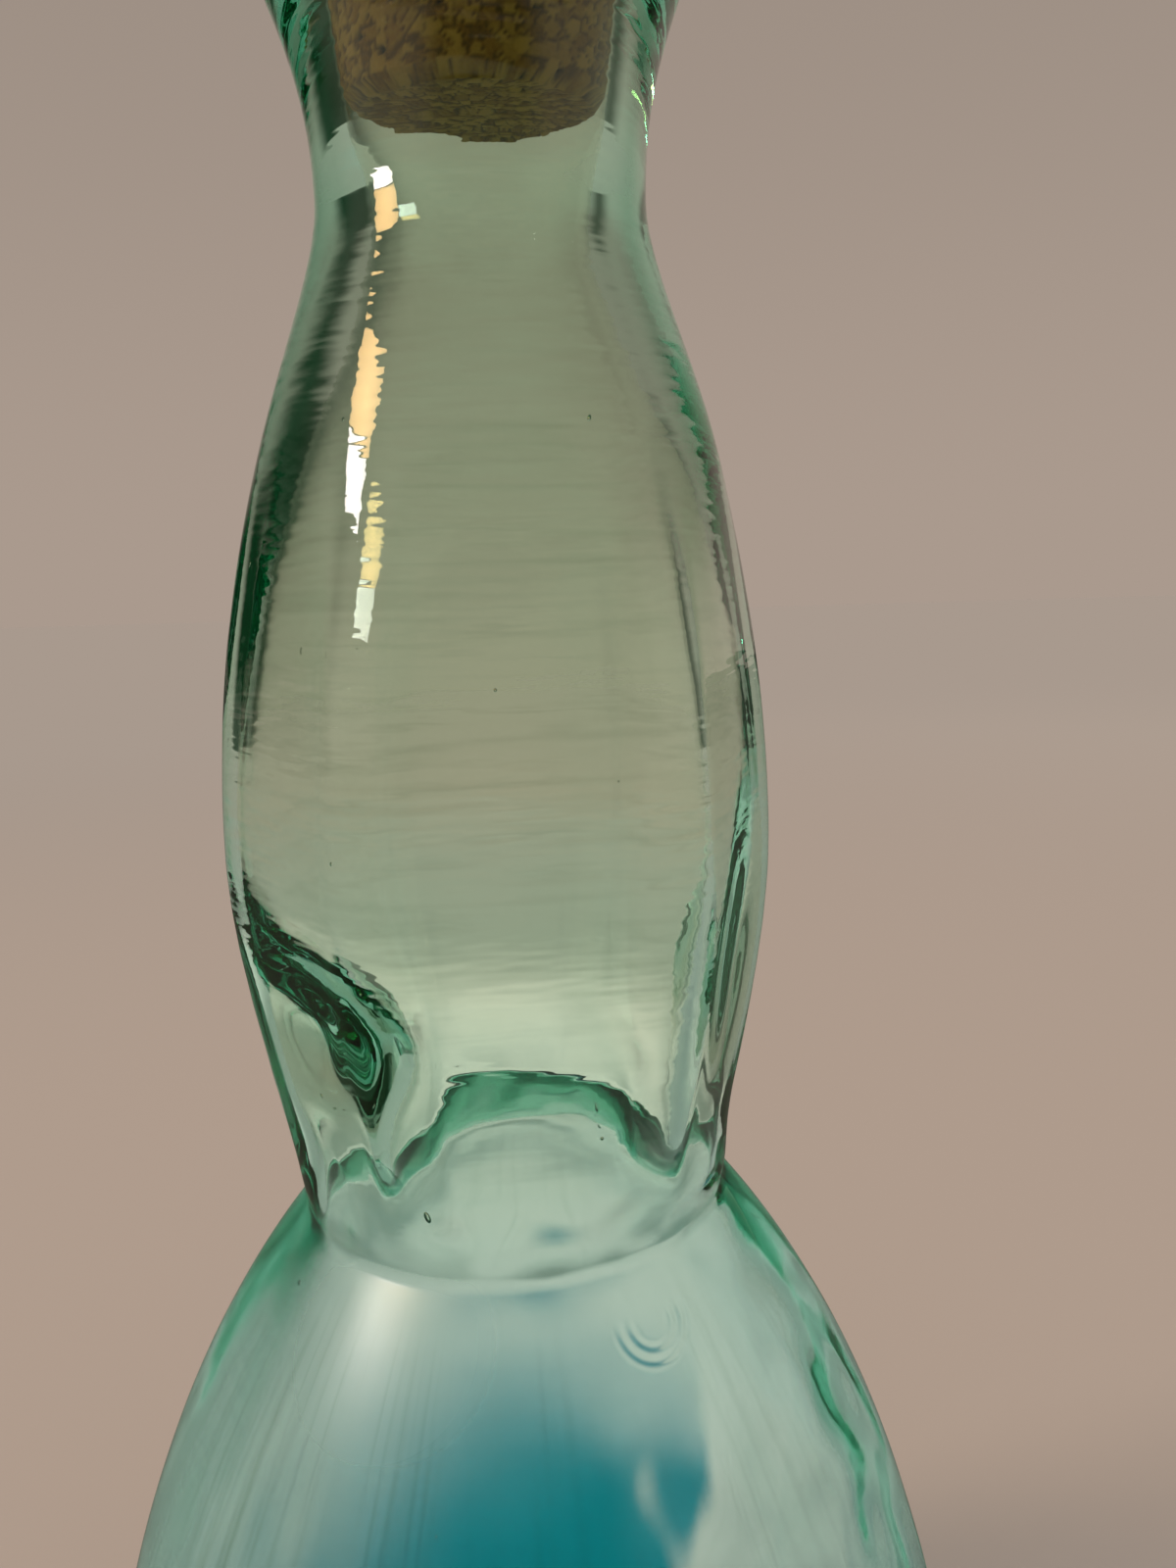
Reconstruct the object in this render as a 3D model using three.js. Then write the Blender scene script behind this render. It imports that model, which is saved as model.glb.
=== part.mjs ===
// A double-gourd decanter of thick blown glass, closed with a tapered cork.
// Millimetres, +Z up. The origin is the centre of the foot ring, on the surface that the decanter stands on.
// The middle of the front panel of the bulb faces -Y.
import * as THREE from "three";

// Foot and base
const FOOT_RING_RADIUS = 42; // outer edge of the flat ring that it stands on
const FOOT_RING_WIDTH = 9;
const PUSH_UP_HEIGHT = 7; // how far the underside is pushed up inside the ring
const BASE_THICKNESS = 9.5; // glass over the push-up, on the axis

// Outline of the glass, from the foot up: radii at the five stations, and the heights between them
const BODY_RADIUS = 59;
const WAIST_RADIUS = 27.3;
const BULB_RADIUS = 34.6; // over the rounded corners between the panels
const NECK_RADIUS = 19.7;
const LIP_RADIUS = 28.3;
const HEEL_HEIGHT = 29; // foot to the widest part of the body
const BELL_HEIGHT = 102; // widest part of the body to the waist
const BULB_LOWER_HEIGHT = 45.5; // waist to the widest part of the bulb
const BULB_UPPER_HEIGHT = 77; // widest part of the bulb to the neck
const MOUTH_HEIGHT = 38; // neck to the top of the lip
const LIP_ROUND = 4; // height of the fire-polished rounding of the lip

// How steeply the outline runs into the waist and the lip, as radius gained for each millimetre of height
const BELL_SLOPE_AT_WAIST = -0.84;
const BULB_SLOPE_AT_WAIST = 0.24;
const MOUTH_SLOPE_AT_LIP = 0.36;
const THROAT_SLOPE = -0.26; // inside, where the hollow of the bulb runs into the bore of the mouth

// How far each stretch of outline keeps the slope of its foot and of its head, as a share of its height
const BELL_REACH = { foot: 0.37, head: 0.29 };
const BULB_LOWER_REACH = { foot: 0.35, head: 0.27 };
const BULB_UPPER_REACH = { foot: 0.57, head: 0.16 };
const BULB_HOLLOW_REACH = { foot: 0.5, head: 0.2 };
const MOUTH_REACH = { foot: 0.42, head: 0.4 };
const THROAT_REACH = { foot: 0.4, head: 0.4 };

// Thickness of the glass
const BODY_WALL = 3.6;
const WAIST_WALL = 5.8; // at the crease
const WAIST_INNER_ROUND = 10; // rounding of the ridge inside the crease
const BULB_WALL = 2.6; // at the corners between the panels
const NECK_WALL = 6.4;
const THROAT_DROP = 7; // from the narrowest part of the neck down to where the bulb's hollow begins

// Panels round the bulb
const PANEL_COUNT = 6;
const PANEL_CORNER_RADIUS = 14; // rounding between two panels
const PANEL_FOOT_FADE = 14; // above the waist, where the panels grow out of the round
const PANEL_HEAD_GAP = 19; // below the neck, where the panels have ended
const PANEL_HEAD_FADE = 40; // height over which they end, as arches
const PANEL_INSIDE_SHARE = 0.85; // how much of the panels' depth is left on the inside

// Cork, and the cone of the mouth that it is pressed into
const SEAT_TAPER = 0.18; // radius gained for each millimetre of height
const CORK_DEPTH = 29.5; // below the lip
const CORK_PROUD = 18.5; // above the lip
const CORK_BEVEL = 1.2;
const CORK_CLEARANCE = 0.3;
const SEAT_BELOW_CORK = 1.5; // how far the cone goes on below the cork

// Fineness of the mesh
const SEGMENTS = 48;

// Heights of the stations
const bodyHeight = HEEL_HEIGHT;
const waistHeight = bodyHeight + BELL_HEIGHT;
const bulbHeight = waistHeight + BULB_LOWER_HEIGHT;
const neckHeight = bulbHeight + BULB_UPPER_HEIGHT;
const lipHeight = neckHeight + MOUTH_HEIGHT;
const rimHeight = lipHeight - LIP_ROUND;
const seatFootHeight = lipHeight - CORK_DEPTH - SEAT_BELOW_CORK;

const ringInner = FOOT_RING_RADIUS - FOOT_RING_WIDTH;

// Radius of the mouth's bore, a cone that opens upwards
function seatRadius(height) {
  return NECK_RADIUS - NECK_WALL + SEAT_TAPER * (height - neckHeight);
}

// A stretch of outline from its foot to its head. Each end has a radius, a height and a slope, radius per height.
function stretch(foot, head, reach) {
  const height = head.z - foot.z;
  const footRun = reach.foot * height;
  const headRun = reach.head * height;
  return new THREE.CubicBezierCurve(
    new THREE.Vector2(foot.r, foot.z),
    new THREE.Vector2(foot.r + foot.slope * footRun, foot.z + footRun),
    new THREE.Vector2(head.r - head.slope * headRun, head.z - headRun),
    new THREE.Vector2(head.r, head.z),
  );
}

// The points of a curve from its head down, without the first
function downward(curve, steps) {
  return curve.getPoints(steps).reverse().slice(1);
}

// Share of the panels' depth at a height: none at the waist, all of it in the bulb, none from the head gap up
function panelShare(height) {
  const head = neckHeight - PANEL_HEAD_GAP;
  const grown = THREE.MathUtils.smoothstep(height, waistHeight, waistHeight + PANEL_FOOT_FADE);
  const ended = THREE.MathUtils.smoothstep(height, head - PANEL_HEAD_FADE, head);
  return grown * (1 - ended);
}

// Radius of a polygon with rounded corners in one direction, as a share of its radius at the corners
function panelRadius(angle) {
  const half = Math.PI / PANEL_COUNT;
  const cornerCentre = BULB_RADIUS - PANEL_CORNER_RADIUS;
  const face = cornerCentre * Math.cos(half) + PANEL_CORNER_RADIUS;
  const fromFront = angle + Math.PI / 2;
  const fromFace = Math.abs(fromFront - 2 * half * Math.round(fromFront / (2 * half)));
  if (fromFace <= Math.atan2(cornerCentre * Math.sin(half), face)) {
    return face / Math.cos(fromFace) / BULB_RADIUS;
  }
  const across = cornerCentre * Math.sin(half - fromFace);
  return (cornerCentre * Math.cos(half - fromFace) + Math.sqrt(PANEL_CORNER_RADIUS ** 2 - across ** 2)) / BULB_RADIUS;
}

// A profile of radius and height, turned round +Z
function turned(profile) {
  return new THREE.LatheGeometry(profile, SEGMENTS).rotateX(Math.PI / 2);
}

// Presses the panels into a turned wall. Profile points from firstInside on are on the inside of the glass.
function pressPanels(geometry, pointCount, firstInside) {
  const position = geometry.getAttribute("position");
  for (let i = 0; i < position.count; i++) {
    const side = i % pointCount < firstInside ? 1 : PANEL_INSIDE_SHARE;
    const share = side * panelShare(position.getZ(i));
    const angle = Math.atan2(position.getY(i), position.getX(i));
    const scale = 1 + share * (panelRadius(angle) - 1);
    position.setX(i, position.getX(i) * scale);
    position.setY(i, position.getY(i) * scale);
  }
  return geometry;
}

// The outside of the glass, from the middle of the push-up to the top of the bore
function outerProfile() {
  const foot = new THREE.Vector2(FOOT_RING_RADIUS, 0);
  const pushUp = new THREE.QuadraticBezierCurve(
    new THREE.Vector2(0, PUSH_UP_HEIGHT),
    new THREE.Vector2(ringInner / 2, PUSH_UP_HEIGHT),
    new THREE.Vector2(ringInner, 0),
  );
  const heel = new THREE.EllipseCurve(
    FOOT_RING_RADIUS, bodyHeight, BODY_RADIUS - FOOT_RING_RADIUS, bodyHeight, -Math.PI / 2, 0,
  );
  const bell = stretch(
    { r: BODY_RADIUS, z: bodyHeight, slope: 0 },
    { r: WAIST_RADIUS, z: waistHeight, slope: BELL_SLOPE_AT_WAIST },
    BELL_REACH,
  );
  const bulbLower = stretch(
    { r: WAIST_RADIUS, z: waistHeight, slope: BULB_SLOPE_AT_WAIST },
    { r: BULB_RADIUS, z: bulbHeight, slope: 0 },
    BULB_LOWER_REACH,
  );
  const bulbUpper = stretch(
    { r: BULB_RADIUS, z: bulbHeight, slope: 0 },
    { r: NECK_RADIUS, z: neckHeight, slope: 0 },
    BULB_UPPER_REACH,
  );
  const mouth = stretch(
    { r: NECK_RADIUS, z: neckHeight, slope: 0 },
    { r: LIP_RADIUS, z: rimHeight, slope: MOUTH_SLOPE_AT_LIP },
    MOUTH_REACH,
  );
  const bore = seatRadius(rimHeight);
  const lip = new THREE.EllipseCurve(
    (LIP_RADIUS + bore) / 2, rimHeight, (LIP_RADIUS - bore) / 2, LIP_ROUND, 0, Math.PI,
  );
  return [
    ...pushUp.getPoints(3),
    foot,
    ...heel.getPoints(6).slice(1),
    ...bell.getPoints(8).slice(1),
    ...bulbLower.getPoints(6).slice(1),
    ...bulbUpper.getPoints(9).slice(1),
    ...mouth.getPoints(6).slice(1),
    ...lip.getPoints(8).slice(1),
  ];
}

// The inside of the glass, from the foot of the cork's seat down to the middle of the floor
function innerProfile() {
  const seatFoot = { r: seatRadius(seatFootHeight), z: seatFootHeight, slope: SEAT_TAPER };
  const throat = { r: seatRadius(neckHeight), z: neckHeight - THROAT_DROP, slope: THROAT_SLOPE };
  const bulb = { r: BULB_RADIUS - BULB_WALL, z: bulbHeight, slope: 0 };
  const body = { r: BODY_RADIUS - BODY_WALL, z: bodyHeight, slope: 0 };

  // The ridge inside the crease is an arc that meets the hollows at the outside's slopes
  const ridge = new THREE.EllipseCurve(
    WAIST_RADIUS - WAIST_WALL + WAIST_INNER_ROUND, waistHeight, WAIST_INNER_ROUND, WAIST_INNER_ROUND,
    Math.PI - Math.atan(BULB_SLOPE_AT_WAIST), Math.PI - Math.atan(BELL_SLOPE_AT_WAIST),
  );
  const ridgeHead = ridge.getPoint(0);
  const ridgeFoot = ridge.getPoint(1);
  const bulbFoot = { r: ridgeHead.x, z: ridgeHead.y, slope: BULB_SLOPE_AT_WAIST };
  const bellHead = { r: ridgeFoot.x, z: ridgeFoot.y, slope: BELL_SLOPE_AT_WAIST };

  const floorHeight = PUSH_UP_HEIGHT + BASE_THICKNESS;
  const floor = new THREE.CubicBezierCurve(
    new THREE.Vector2(body.r, bodyHeight),
    new THREE.Vector2(body.r, PUSH_UP_HEIGHT / 2),
    new THREE.Vector2(ringInner, floorHeight),
    new THREE.Vector2(0, floorHeight),
  );
  return [
    new THREE.Vector2(seatFoot.r, seatFoot.z),
    ...downward(stretch(throat, seatFoot, THROAT_REACH), 4),
    ...downward(stretch(bulb, throat, BULB_HOLLOW_REACH), 9),
    ...downward(stretch(bulbFoot, bulb, BULB_LOWER_REACH), 6),
    ...ridge.getPoints(4).slice(1),
    ...downward(stretch(body, bellHead, BELL_REACH), 8),
    ...floor.getPoints(7).slice(1),
  ];
}

function glassVessel() {
  const outer = outerProfile();
  const profile = [...outer, ...innerProfile()];
  return pressPanels(turned(profile), profile.length, outer.length);
}

function corkStopper() {
  const bottom = lipHeight - CORK_DEPTH;
  const top = lipHeight + CORK_PROUD;
  const radiusAt = (height) => seatRadius(height) - CORK_CLEARANCE;
  return turned([
    new THREE.Vector2(0, bottom),
    new THREE.Vector2(radiusAt(bottom) - CORK_BEVEL, bottom),
    new THREE.Vector2(radiusAt(bottom + CORK_BEVEL), bottom + CORK_BEVEL),
    new THREE.Vector2(radiusAt(lipHeight), lipHeight),
    new THREE.Vector2(radiusAt(top - CORK_BEVEL), top - CORK_BEVEL),
    new THREE.Vector2(radiusAt(top) - CORK_BEVEL, top),
    new THREE.Vector2(0, top),
  ]);
}

// Pale green glass, as clear as its thickness allows
const glass = new THREE.MeshStandardMaterial({
  color: "#a9c2b0", roughness: 0.05, metalness: 0, transparent: true, opacity: 0.45,
});
// Cork granules pressed together, tan with brown flecks
const cork = new THREE.MeshStandardMaterial({ color: "#b98a55", roughness: 0.9, metalness: 0 });

function piece(name, geometry, material) {
  const mesh = new THREE.Mesh(geometry, material);
  mesh.name = name;
  return mesh;
}

const decanter = new THREE.Group();
decanter.add(piece("glass_vessel", glassVessel(), glass));
decanter.add(piece("cork_stopper", corkStopper(), cork));

export default decanter;
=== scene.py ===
"""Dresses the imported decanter: thick hand-blown glass with a pressed cork, on a plain pale floor.

Sizes are millimetres until a mesh or a node takes them, then metres. +Z is up, and the middle of the front
panel of the bulb faces -Y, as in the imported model.
"""
import logging
import math
from dataclasses import dataclass
from enum import Enum
from typing import Any, ClassVar, Optional, Sequence

import bpy
import numpy as np
from mathutils import Euler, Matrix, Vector, noise


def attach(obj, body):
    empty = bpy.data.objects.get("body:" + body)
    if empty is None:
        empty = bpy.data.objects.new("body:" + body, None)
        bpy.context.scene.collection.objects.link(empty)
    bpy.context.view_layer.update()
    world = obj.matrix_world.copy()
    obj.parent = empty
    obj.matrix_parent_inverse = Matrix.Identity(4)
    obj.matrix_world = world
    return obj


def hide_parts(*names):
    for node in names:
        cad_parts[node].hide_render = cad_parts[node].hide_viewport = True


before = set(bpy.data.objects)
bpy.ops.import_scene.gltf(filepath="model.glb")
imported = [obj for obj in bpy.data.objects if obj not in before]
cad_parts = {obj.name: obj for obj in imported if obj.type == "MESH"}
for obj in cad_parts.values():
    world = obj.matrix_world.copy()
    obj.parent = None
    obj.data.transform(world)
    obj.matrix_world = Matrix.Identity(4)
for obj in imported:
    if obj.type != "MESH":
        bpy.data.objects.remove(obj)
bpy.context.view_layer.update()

MM = 0.001
LOG = logging.getLogger("decanter")

Pair = tuple[float, float]
Spot = tuple[float, float, float]
Face = tuple[int, ...]
Node = bpy.types.Node
Socket = bpy.types.NodeSocket
Tree = bpy.types.NodeTree

# Kinds of node, settings and socket numbers that come up again and again
MATH = "ShaderNodeMath"
VECTOR_MATH = "ShaderNodeVectorMath"
MAP_RANGE = "ShaderNodeMapRange"
NOISE = "ShaderNodeTexNoise"
MIX = "ShaderNodeMix"
SMOOTH = {"interpolation_type": "SMOOTHSTEP"}
TIMES = {"operation": "MULTIPLY"}
TIMES_PLUS = {"operation": "MULTIPLY_ADD"}
GREATER = {"operation": "MAXIMUM"}
DISTANCE = {"operation": "DISTANCE"}
ALONG = {"operation": "DOT_PRODUCT"}
COLOURS = {"data_type": "RGBA"}
FIRST_COLOUR = 6
SECOND_COLOUR = 7


def linear(hex_colour: str) -> tuple[float, float, float, float]:
    """Turns an sRGB hex colour into Blender's linear values.

    Args:
        hex_colour: Six hex digits after a #.

    Returns:
        Red, green, blue and full opacity.
    """
    values = [int(hex_colour[i:i + 2], 16) / 255 for i in (1, 3, 5)]
    red, green, blue = (v / 12.92 if v <= 0.04045 else ((v + 0.055) / 1.055) ** 2.4 for v in values)
    return red, green, blue, 1.0


def metres(place_mm: Spot) -> Spot:
    """Turns a place in millimetres into metres."""
    return place_mm[0] * MM, place_mm[1] * MM, place_mm[2] * MM


def facing(angle_deg: float) -> Spot:
    """Gives the level direction at an angle from +X towards +Y."""
    return math.cos(math.radians(angle_deg)), math.sin(math.radians(angle_deg)), 0.0


def add_node(tree: Tree, kind: str, settings: Optional[dict[str, Any]] = None,
             inputs: Optional[dict[Any, Any]] = None) -> Node:
    """Adds one node to a tree.

    Args:
        tree: The tree to add to.
        kind: Blender's type name of the node.
        settings: Properties of the node itself.
        inputs: Input sockets by name or index. A socket is linked, a node is linked by its first output
            in use, and any other value is set.

    Returns:
        The new node.
    """
    node = tree.nodes.new(kind)
    for name, value in (settings or {}).items():
        setattr(node, name, value)
    for name, value in (inputs or {}).items():
        if isinstance(value, bpy.types.Node):
            value = next(output for output in value.outputs if output.enabled)
        if isinstance(value, bpy.types.NodeSocket):
            tree.links.new(value, node.inputs[name])
        else:
            node.inputs[name].default_value = value
    return node


def span(value: Any, ends: Pair, low: Any = 0.0, high: Any = 1.0, unit: float = MM) -> dict[str, Any]:
    """Gives the inputs of a change from one value to another between two ends.

    Args:
        value: What decides, as a node or a socket.
        ends: Where the change starts and where it is complete.
        low: The value at the start.
        high: The value at the end.
        unit: What one step of the ends is worth: a millimetre, unless told otherwise.

    Returns:
        The inputs by name.
    """
    start, end = (place * unit for place in ends)
    return {"Value": value, "From Min": start, "From Max": end, "To Min": low, "To Max": high}


def held_back(tree: Tree, value: Node, limits: Sequence[dict[str, Any]]) -> Node:
    """Multiplies a value by one smooth change after another.

    Args:
        tree: The tree to add to.
        value: The node that gives the value.
        limits: The changes, each as span gives it.

    Returns:
        The node that gives the product.
    """
    for limit in limits:
        change = add_node(tree, MAP_RANGE, SMOOTH, limit)
        value = add_node(tree, MATH, TIMES, {0: value, 1: change})
    return value


def set_ramp(node: Node, stops: Sequence[tuple[float, str]]) -> None:
    """Sets the stops of a colour ramp.

    Args:
        node: A ColorRamp node.
        stops: Position and hex colour of each stop, in order.
    """
    ramp = node.color_ramp
    while len(ramp.elements) < len(stops):
        ramp.elements.new(1.0)
    for element, (position, colour) in zip(ramp.elements, stops):
        element.position = position
        element.color = linear(colour)


def new_material(name: str) -> tuple[bpy.types.Material, Tree]:
    """Makes a material with an empty tree of nodes.

    Args:
        name: Name of the finish.

    Returns:
        The material and its tree.
    """
    material = bpy.data.materials.new(name)
    material.use_nodes = True
    material.node_tree.nodes.clear()
    return material, material.node_tree


def smooth_share(value: np.ndarray, low: float, high: float) -> np.ndarray:
    """Smooth step of a value from 0 at low to 1 at high, without a jump in its curvature."""
    share = np.clip((value - low) / (high - low), 0.0, 1.0)
    return share ** 3 * (10 - 15 * share + 6 * share * share)


def ripple(points: np.ndarray, across_mm: float, up_mm: float, shift: float) -> np.ndarray:
    """Smooth noise over points in space.

    Args:
        points: Places in millimetres, one row each.
        across_mm: Size of a ripple across the axis.
        up_mm: Size of a ripple along the axis.
        shift: Moves the pattern, so that two uses differ.

    Returns:
        One value for each point, about -1 to 1.
    """
    scaled = points / np.array([across_mm, across_mm, up_mm]) + shift
    return np.array([noise.noise(Vector(p)) for p in scaled])


def bezier(controls: np.ndarray, steps: int) -> np.ndarray:
    """Points of a Bezier curve, as radius and height.

    Args:
        controls: Its control points, one row each.
        steps: Number of stretches.

    Returns:
        The points, from the first control point to the last.
    """
    t = np.linspace(0, 1, steps + 1)[:, None]
    last = len(controls) - 1
    return sum(math.comb(last, k) * (1 - t) ** (last - k) * t ** k * control
               for k, control in enumerate(controls))


def arc(centre: Pair, radii: Pair, turn: Pair, steps: int) -> np.ndarray:
    """Points of an arc of an ellipse, as radius and height.

    Args:
        centre: Radius and height of its centre.
        radii: Its half widths along the radius and the axis. A negative one turns it over.
        turn: Angles of its ends, in radians.
        steps: Number of stretches.

    Returns:
        The points, from the first end to the second.
    """
    angle = np.linspace(*turn, steps + 1)
    return np.stack([centre[0] + radii[0] * np.cos(angle), centre[1] + radii[1] * np.sin(angle)], axis=1)


@dataclass(frozen=True)
class Station:
    """A place on an outline: radius, height, slope there, and how far the outline keeps that slope."""

    radius: float
    height: float
    slope: float
    reach: float


def curve(start: Station, end: Station, steps: int) -> np.ndarray:
    """Points of a cubic curve between two stations, as radius and height.

    Args:
        start: Lower station.
        end: Upper station.
        steps: Number of stretches.

    Returns:
        The points, from the lower station up.
    """
    height = end.height - start.height
    begin = np.array([start.radius, start.height])
    finish = np.array([end.radius, end.height])
    after = begin + np.array([start.slope, 1.0]) * start.reach * height
    before = finish - np.array([end.slope, 1.0]) * end.reach * height
    return bezier(np.array([begin, after, before, finish]), steps)


def outward(outline: np.ndarray) -> np.ndarray:
    """Directions away from a turned outline, at each point between its ends.

    Args:
        outline: Radius and height of each point, from the bottom up the outside.

    Returns:
        The part of each direction along the radius, and the part along the axis.
    """
    along = outline[2:] - outline[:-2]
    return np.stack([along[:, 1], -along[:, 0]], axis=1) / np.linalg.norm(along, axis=1)[:, None]


def around_axis(radius: np.ndarray, height: np.ndarray, around: int) -> np.ndarray:
    """Sets out rings of points, or of directions, round the axis.

    Args:
        radius: One row for each ring, with one radius for all its points or one for each.
        height: One row with the height of each ring.
        around: Points in each ring.

    Returns:
        The points, ring after ring.
    """
    angle = np.arange(around) * 2 * math.pi / around
    grid = [radius * np.cos(angle), radius * np.sin(angle), height * np.ones(around)]
    return np.stack(grid, axis=-1).reshape(-1, 3)


def capped(rings: np.ndarray, first: float, last: float) -> np.ndarray:
    """Puts a point on the axis before rings of points, and another after them."""
    return np.concatenate([[[0, 0, first]], rings, [[0, 0, last]]])


def turned_faces(rings: int, around: int) -> list[Face]:
    """Faces of a closed turned form whose first and last points lie on the axis.

    Args:
        rings: Number of full rings between the two points on the axis.
        around: Points in each ring.

    Returns:
        The faces, with their fronts outwards when the outline runs from the bottom up the outside.
    """
    faces: list[Face] = []
    last = 1 + rings * around
    for i in range(around):
        j = (i + 1) % around
        faces.append((0, 1 + j, 1 + i))
        for ring in range(rings - 1):
            a = 1 + ring * around
            b = a + around
            faces.append((a + i, a + j, b + j, b + i))
        top = last - around
        faces.append((last, top + i, top + j))
    return faces


def make_object(name: str, points_mm: np.ndarray, faces: list[Face],
                material: bpy.types.Material) -> bpy.types.Object:
    """Makes a smooth-shaded mesh object in metres.

    Args:
        name: Name of the piece.
        points_mm: Its points in millimetres.
        faces: Its faces, as point indices.
        material: Its finish.

    Returns:
        The linked object.
    """
    mesh = bpy.data.meshes.new(name)
    mesh.from_pydata((points_mm * MM).tolist(), [], faces)
    mesh.polygons.foreach_set("use_smooth", [True] * len(mesh.polygons))
    mesh.materials.append(material)
    mesh.update()
    made = bpy.data.objects.new(name, mesh)
    bpy.context.scene.collection.objects.link(made)
    return made


@dataclass(frozen=True)
class Streaks:
    """Faint darker streaks in the glass's colour, used for cords and for painted stripes: their radius, the
    size of one across and up, and their strength.
    """

    radius_mm: float
    across_mm: float
    up_mm: float
    strength: float


@dataclass(frozen=True)
class BlownGlass:
    """Soda-lime glass of recycled cullet, blown and fire-polished.

    Iron in the cullet makes it green where the light goes a long way through it. A turquoise gather at the
    base fades upwards, and the skin is glossy with slow ripples from the blowing.
    """

    # Tints of the bulb, the bell and the gather, and what the thickness lets through
    clear: str = "#faf6ea"
    bell: str = "#f4f3f1"
    turquoise: str = "#0fa0b4"
    absorbed: str = "#00d9bc"
    density_per_m: float = 32.0
    ior: float = 1.5
    bell_end_mm: Pair = (118.0, 152.0)
    # The gather rises towards one side of the base, drifts up and down, and ends at an edge beside it
    turquoise_mm: Pair = (4.0, 58.0)
    turquoise_rise: float = 0.62
    turquoise_side_deg: float = 84.0
    turquoise_edge_deg: float = -30.0
    turquoise_edge_mm: Pair = (2.0, 9.0)
    drift_mm: float = 45.0
    drift_reach_mm: float = 12.0
    # Polish of the skin, with one scuffed patch on the shoulder of the bell
    bulb_roughness: float = 0.0
    bell_roughness: float = 0.05
    bell_polish_mm: Pair = (129.0, 136.0)
    scuff_roughness: float = 0.32
    scuff_place_mm: Spot = (-17.0, -24.0, 123.0)
    scuff_reach_mm: Pair = (2.0, 40.0)
    # Upright cords in one side of the bell, and level darker waves in the bulb: painted stripes that stand in
    # for a striped backdrop seen through the rippled skin
    cords: Streaks = Streaks(radius_mm=40.0, across_mm=1.3, up_mm=60.0, strength=1.0)
    cord_end_mm: Pair = (130.0, 120.0)
    cord_side_deg: float = 205.0
    cord_reach_mm: Pair = (5.0, 40.0)
    cord_low_share: float = 0.25
    painted_stripes: Streaks = Streaks(radius_mm=34.0, across_mm=34.0, up_mm=1.5, strength=0.3)
    wave_start_mm: Pair = (140.0, 160.0)
    wave_end_mm: Pair = (246.0, 215.0)
    # The streaks darken the tint: the cords are the glass's own, the level waves are painted stripes
    streak_ends: Pair = (0.5, 0.72)
    cord_and_painted_stripe_tint: str = "#dce2dc"
    # Fine ripples of the skin, weaker below the bulb
    ripple_mm: float = 9.0
    ripple_up_mm: float = 1.6
    ripple_depth_mm: float = 0.055
    ripple_low_share: float = 0.2
    ripple_start_mm: Pair = (148.0, 170.0)
    # One small swirl mark: rings that fade in and out with their radius, and are cut off above their middle
    swirl_place_mm: Spot = (12.1, -28.5, 125.5)
    swirl_pitch_mm: float = 1.5
    swirl_start_mm: Pair = (1.6, 2.8)
    swirl_end_mm: Pair = (5.6, 4.2)
    swirl_cut_mm: Pair = (1.5, -0.5)
    swirl_depth_mm: float = 0.06

    def make(self) -> bpy.types.Material:
        """Builds the material.

        Returns:
            The material.
        """
        material, tree = new_material("blown_glass_recycled_green")
        place = add_node(tree, "ShaderNodeTexCoord").outputs["Object"]
        height = add_node(tree, "ShaderNodeSeparateXYZ", inputs={0: place}).outputs["Z"]
        glass = add_node(tree, "ShaderNodeBsdfPrincipled", inputs={
            "Base Color": self.colour(tree, place, height), "Roughness": self.polish(tree, place, height),
            "Normal": self.skin(tree, place, height), "IOR": self.ior, "Transmission Weight": 1.0})
        depth = add_node(tree, "ShaderNodeVolumeAbsorption",
                         inputs={"Color": linear(self.absorbed), "Density": self.density_per_m})
        add_node(tree, "ShaderNodeOutputMaterial", inputs={"Surface": glass, "Volume": depth})
        return material

    def tint(self, tree: Tree, place: Socket, height: Socket) -> Node:
        """Adds the tint of the glass, from the turquoise gather up to the clear bulb.

        Args:
            tree: The material's tree.
            place: Place on the piece.
            height: Height of that place.

        Returns:
            The node that gives the tint.
        """
        drift = add_node(tree, NOISE,
                         inputs={"Vector": place, "Scale": 1 / (self.drift_mm * MM), "Detail": 2.0})
        shift = add_node(tree, MATH, TIMES_PLUS, {0: drift, 1: 2 * self.drift_reach_mm * MM,
                                                  2: -self.drift_reach_mm * MM})
        level = add_node(tree, MATH, {"operation": "ADD"}, {0: height, 1: shift})
        behind = add_node(tree, VECTOR_MATH, ALONG, {0: place, 1: facing(self.turquoise_side_deg)})
        leaning = add_node(tree, MATH, TIMES_PLUS, {0: behind, 1: -self.turquoise_rise, 2: level})
        top = add_node(tree, MAP_RANGE, SMOOTH, span(leaning, self.turquoise_mm))
        beside = add_node(tree, VECTOR_MATH, ALONG, {0: place, 1: facing(self.turquoise_edge_deg)})
        edge = add_node(tree, MAP_RANGE, SMOOTH, span(beside, self.turquoise_edge_mm))
        fade = add_node(tree, MATH, GREATER, {0: top, 1: edge})
        low = add_node(tree, MIX, COLOURS, {"Factor": fade, FIRST_COLOUR: linear(self.turquoise),
                                            SECOND_COLOUR: linear(self.bell)})
        upper = add_node(tree, MAP_RANGE, SMOOTH, span(level, self.bell_end_mm))
        return add_node(tree, MIX, COLOURS, {"Factor": upper, FIRST_COLOUR: low,
                                             SECOND_COLOUR: linear(self.clear)})

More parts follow.
